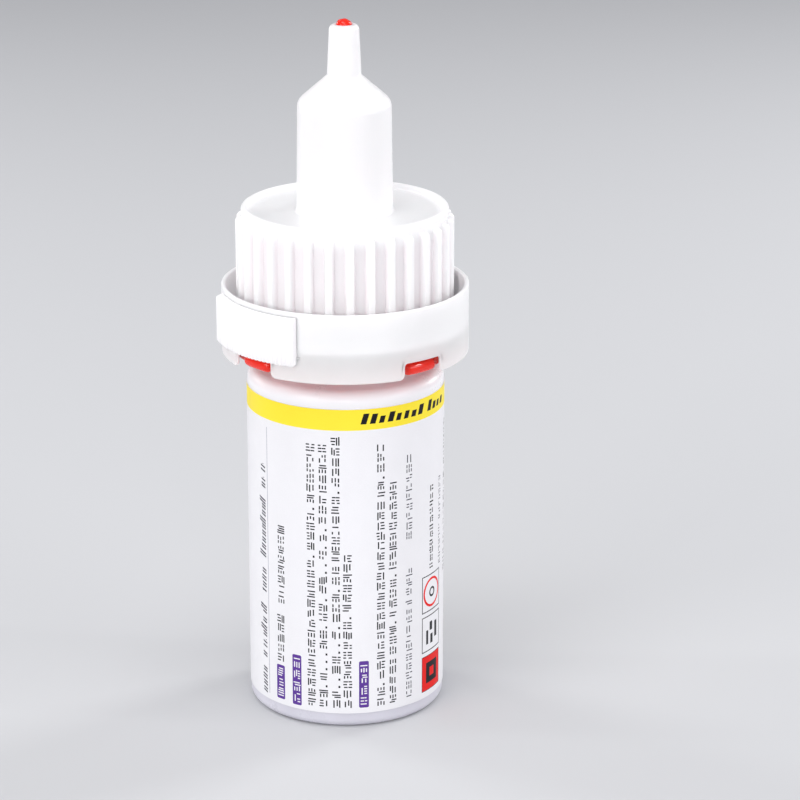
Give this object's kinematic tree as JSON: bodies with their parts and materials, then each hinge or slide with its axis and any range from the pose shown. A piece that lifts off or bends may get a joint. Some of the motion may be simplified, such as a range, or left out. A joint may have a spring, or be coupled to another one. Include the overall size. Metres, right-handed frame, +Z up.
{
  "type": "glue applicator bottle",
  "caption": "Small cylindrical squeeze bottle with a press-in nozzle and a two-piece screw cap: a ribbed shell with a tall spire and grip ring that spins on a lugged inner cap.",
  "frame": {"origin": "centre of the bottle's base, on the surface it stands on", "axes": "+Z up along the bottle's axis; -Y is the front"},
  "size_m": [0.0351, 0.034, 0.0975],
  "materials": {
    "body_white": "satin blow-moulded polyethylene, faintly lavender",
    "label_print": "satin printed film",
    "nozzle_natural": "natural polyethylene",
    "glue": "clear viscous adhesive",
    "seal_foam": "soft foamed polyethylene",
    "cap_red": "glossy red polypropylene",
    "pin_steel": "drawn steel wire",
    "shell_white": "white, slightly translucent polypropylene"
  },
  "bodies": {
    "bottle": {"bottle_body": "body_white", "label": "label_print", "nozzle": "nozzle_natural", "glue_fill": "glue"},
    "seal_ring": {"cap_seal": "seal_foam"},
    "screw_cap": {"inner_cap": "cap_red", "cap_pin": "pin_steel"},
    "shell": {"outer_shell": "shell_white"}
  },
  "joints": [
    {"name": "cap_rise", "type": "slide", "parent": "bottle", "child": "seal_ring", "axis": [0, 0, 1], "range_m": [0, 0.05101]},
    {"name": "cap_turn", "type": "hinge", "parent": "seal_ring", "child": "screw_cap", "pos_m": [0, 0, 0.06], "axis": [0, 0, 1], "range_deg": [0, 6120]},
    {"name": "shell_spin", "type": "hinge", "parent": "screw_cap", "child": "shell", "pos_m": [0, 0, 0.06], "axis": [0, 0, 1], "continuous": true}
  ],
  "couplings": [
    {"joint": "cap_rise", "follows": "cap_turn", "m_per_rad": 0.00047746}
  ]
}
